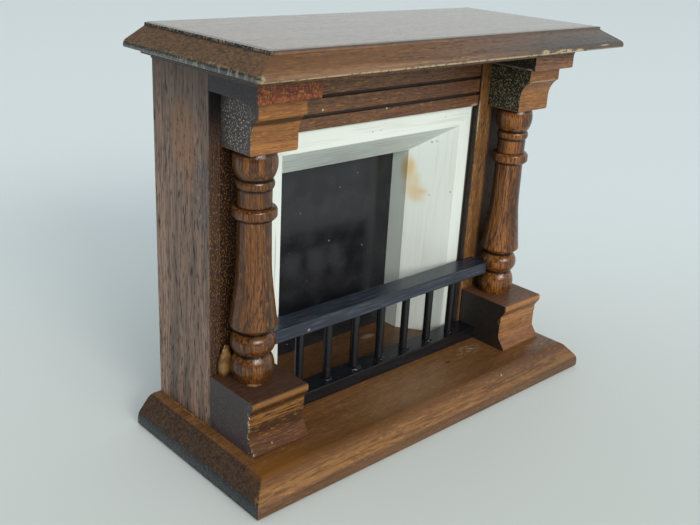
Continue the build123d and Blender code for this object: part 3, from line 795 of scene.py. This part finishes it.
class SURROUND_OT_glue(bpy.types.Operator):
    """Adds the glue beads at the left column and side panel, and the paint drops on the fender"""
    bl_idname = "surround.glue"
    bl_label = "Glue Beads and Paint Drops"

    def execute(self, context):
        glue = dried_glue("dried_wood_glue")
        plinth_low, plinth_high = piece_box("plinth_left")
        plinth_top = plinth_high.z

        drop = bmesh.new()
        blob(drop, (-51.2, 1.9, plinth_top + 3.4), (2.1, 1.2, 4.7), plinth_top, seed=2.0, taper=0.45)
        mesh_piece("glue_drop_left_column", drop, glue)

        # squeezed out under the near side of the column
        crescent = bmesh.new()
        axis_x = (plinth_low.x + plinth_high.x) / 2
        axis_y = sum(corner.y for corner in piece_box("column_left")) / 2
        radius = 4.95
        arc = [math.radians(a) for a in range(216, 262, 4)]
        points = [(axis_x + radius * math.cos(a), axis_y + radius * math.sin(a)) for a in arc]
        swell = [math.sin(math.pi * (i + 0.5) / len(arc)) for i in range(len(arc))]
        bead_line(crescent, points, [1.2 * s + 0.1 for s in swell], [0.4 * s + 0.05 for s in swell],
                  plinth_top)
        mesh_piece("glue_crescent_left_column", crescent, glue)

        # along the foot of the side panel, thinner towards both ends
        seam = bmesh.new()
        outside = piece_box("side_panel_left")[0].x
        hearth_top = piece_box("hearth_board")[1].z
        width = context.scene.surround_sizes.glue_line_width / MM
        start, run, steps = 4.4, 16.4, 36
        points = [(outside - 0.4 - 0.25 * noise.noise(Vector((i * 0.4, 1.3, 0))), start + run * i / steps)
                  for i in range(steps + 1)]
        swell = [0.55 + 0.45 * noise.noise(Vector((i * 0.55, 4.1, 2.0))) for i in range(steps + 1)]
        ends = [min(1.0, 3.5 * min(i, steps - i) / steps + 0.15) for i in range(steps + 1)]
        bead_line(seam, points, [width * s * e for s, e in zip(swell, ends)],
                  [0.5 * s * e for s, e in zip(swell, ends)], hearth_top)
        mesh_piece("glue_line_side_panel", seam, glue)

        # one drop at the foot of each baluster, a hair into the rail; the third is the largest
        colours = context.scene.surround_colours
        drops = bmesh.new()
        level = piece_box("fender_bottom_rail")[1].z - 0.01
        for index in range(7):
            x = sum(corner.x for corner in piece_box(f"baluster_{index + 1}")) / 2
            lean = 0.35 * noise.noise(Vector((index * 1.7, 0.4, 0)))
            size = 1.5 if index == 2 else 1.0
            half_size = (1.35 * size, 0.8 * size, 0.55 * size)
            blob(drops, (x + lean, -1.1, level), half_size, level, seed=index * 2.3)
        # the drops' ridges carry the same painted sheen
        paint = black_satin_paint("black_paint_drop", "X", colours.satin_low, colours.satin_low_ridge_sheen)
        mesh_piece("paint_drops_baluster_feet", drops, paint)
        return {"FINISHED"}


def lay_floor(scene):
    """Matte paper, a shade darker near the front, where less of the window reaches it."""
    colours = scene.surround_colours
    paper, tree, place = new_material("matte_paper_floor")
    parts = add_node(tree, "SeparateXYZ", {0: place})
    slope = add_node(tree, "Math", {0: parts.outputs[0], 1: 0.8, 2: parts.outputs[1]},
                     operation="MULTIPLY_ADD")
    back = add_node(tree, "MapRange", {0: slope.outputs[0], 1: -0.15, 2: 0.3}, **SMOOTH)
    tone = layered(tree, opaque(colours.floor_near), [(back.outputs[0], opaque(colours.floor))])
    shader = add_node(tree, "BsdfPrincipled", {"Base Color": tone, "Roughness": 0.9})
    add_node(tree, "OutputMaterial", {0: shader.outputs[0]})
    sheet = bmesh.new()
    bmesh.ops.create_circle(sheet, cap_ends=True, segments=96, radius=3.0)
    data = bpy.data.meshes.new("paper_floor")
    sheet.to_mesh(data)
    sheet.free()
    data.materials.append(paper)
    floor = bpy.data.objects.new("paper_floor", data)
    scene.collection.objects.link(floor)


def light_sky(scene):
    """Soft light from all round, for the whole studio.

    The camera sees a pale wall. A glossy face mirrors such a wall low on the
    right, and a dim room to the left and overhead.
    """
    world = bpy.data.worlds.new("studio_sky")
    world.use_nodes = True
    tree = world.node_tree
    tree.nodes.clear()
    light = add_node(tree, "Background", {"Color": opaque("e8eef2"), "Strength": 0.76})
    direction = add_node(tree, "SeparateXYZ", {0: add_node(tree, "TexCoord").outputs["Generated"]})
    level = add_node(tree, "Math", {0: direction.outputs[2], 1: -1.2, 2: direction.outputs[0]},
                     operation="MULTIPLY_ADD")
    rightward = add_node(tree, "MapRange", {0: level.outputs[0], 1: -0.1, 2: 0.16}, **SMOOTH)
    ray = add_node(tree, "LightPath")
    pale = opaque("dde6e7")
    walls = layered(tree, opaque("4a4d50"), [(rightward.outputs[0], pale),
                                             (ray.outputs["Is Camera Ray"], pale)])
    seen = add_node(tree, "Background", {"Color": walls, "Strength": 1.0})
    shown = ray.outputs["Is Camera Ray"]
    for kind in ("Is Glossy Ray", "Is Transmission Ray"):
        shown = add_node(tree, "Math", {0: shown, 1: ray.outputs[kind]}, operation="MAXIMUM").outputs[0]
    both = add_node(tree, "MixShader", {0: shown, 1: light.outputs[0], 2: seen.outputs[0]})
    add_node(tree, "OutputWorld", {0: both.outputs[0]})
    scene.world = world


def hang_lamps(scene):
    """A broad window in front, a little left of the middle, with a smaller open sash in its midst.

    From the surround the window spans about 50 by 22 degrees. The sash gives
    the highlights on varnish their bright core.
    """
    target = Vector((0, 0, 0.05))
    turn, rise = math.radians(-10), math.radians(25)
    away = Vector((math.sin(turn) * math.cos(rise), -math.cos(turn) * math.cos(rise), math.sin(rise)))
    facing = away.to_track_quat("Z", "Y").to_matrix().to_4x4()
    for name, distance, width, height, power in (("window_light", 8.0, 7.4, 3.1, 310),
                                                 ("open_sash_light", 7.9, 2.6, 1.5, 112)):
        data = bpy.data.lights.new(name, "AREA")
        data.shape = "RECTANGLE"
        data.size, data.size_y = width, height
        data.energy = power
        data.color = linear("fff8f0")
        lamp = bpy.data.objects.new(name, data)
        lamp.matrix_world = Matrix.Translation(target + away * distance) @ facing
        scene.collection.objects.link(lamp)


def place_camera(scene):
    """Stands the camera where the photograph was taken."""
    position = (-0.1653588, -0.1600842, 0.1299185)
    azimuth, height, roll = -0.7602986, 0.3724975, 0.0556283
    photo_width, focal_length = 700, 899.75  # in pixels of the photograph
    film_width = 36.0
    view = Vector((-math.sin(azimuth) * math.cos(height), math.cos(azimuth) * math.cos(height),
                   -math.sin(height)))
    level = view.cross(Vector((0, 0, 1))).normalized()
    above = level.cross(view)
    right = math.cos(roll) * level + math.sin(roll) * above
    up = math.cos(roll) * above - math.sin(roll) * level
    data = bpy.data.cameras.new("photo_camera")
    data.sensor_fit = "HORIZONTAL"
    data.sensor_width = film_width
    data.lens = film_width * focal_length / photo_width
    data.clip_start = 0.01
    data.clip_end = 20.0
    camera = bpy.data.objects.new("photo_camera", data)
    camera.matrix_world = Matrix.Translation(position) @ Matrix((right, up, -view)).transposed().to_4x4()
    scene.collection.objects.link(camera)
    scene.camera = camera


class SURROUND_OT_stage(bpy.types.Operator):
    """Lays the pale floor, hangs the lamps and places the camera"""
    bl_idname = "surround.stage"
    bl_label = "Floor, Lamps and Camera"

    def execute(self, context):
        scene = context.scene
        scene.view_settings.view_transform = "Standard"
        lay_floor(scene)
        light_sky(scene)
        hang_lamps(scene)
        place_camera(scene)
        return {"FINISHED"}


OPERATORS = (
    SURROUND_OT_mantel,
    SURROUND_OT_case,
    SURROUND_OT_capitals,
    SURROUND_OT_plinths,
    SURROUND_OT_columns,
    SURROUND_OT_hearth,
    SURROUND_OT_frame,
    SURROUND_OT_back_panel,
    SURROUND_OT_fender,
    SURROUND_OT_glue,
    SURROUND_OT_stage,
)


class SURROUND_PT_fireplace(bpy.types.Panel):
    """Lists the surround's finishes and the stage"""
    bl_idname = "SURROUND_PT_fireplace"
    bl_label = "Fireplace Surround"
    bl_space_type = "VIEW_3D"
    bl_region_type = "UI"
    bl_category = "Fireplace"

    def draw(self, context):
        layout = self.layout
        for group in (context.scene.surround_sizes, context.scene.surround_colours):
            box = layout.box()
            for name in group.bl_rna.properties.keys():
                if name not in ("rna_type", "name"):
                    box.prop(group, name)
        for operator in OPERATORS:
            layout.operator(operator.bl_idname)


CLASSES = (SurroundSizes, SurroundColours) + OPERATORS + (SURROUND_PT_fireplace,)


def register():
    for cls in CLASSES:
        bpy.utils.register_class(cls)
    bpy.types.Scene.surround_sizes = PointerProperty(type=SurroundSizes)
    bpy.types.Scene.surround_colours = PointerProperty(type=SurroundColours)


def unregister():
    del bpy.types.Scene.surround_colours
    del bpy.types.Scene.surround_sizes
    for cls in reversed(CLASSES):
        bpy.utils.unregister_class(cls)


def main():
    register()
    bpy.ops.surround.mantel()
    bpy.ops.surround.case()
    bpy.ops.surround.capitals()
    bpy.ops.surround.plinths()
    bpy.ops.surround.columns()
    bpy.ops.surround.hearth()
    bpy.ops.surround.frame()
    bpy.ops.surround.back_panel()
    bpy.ops.surround.fender()
    bpy.ops.surround.glue()
    bpy.ops.surround.stage()
    bpy.context.view_layer.update()


if __name__ == "__main__":
    main()
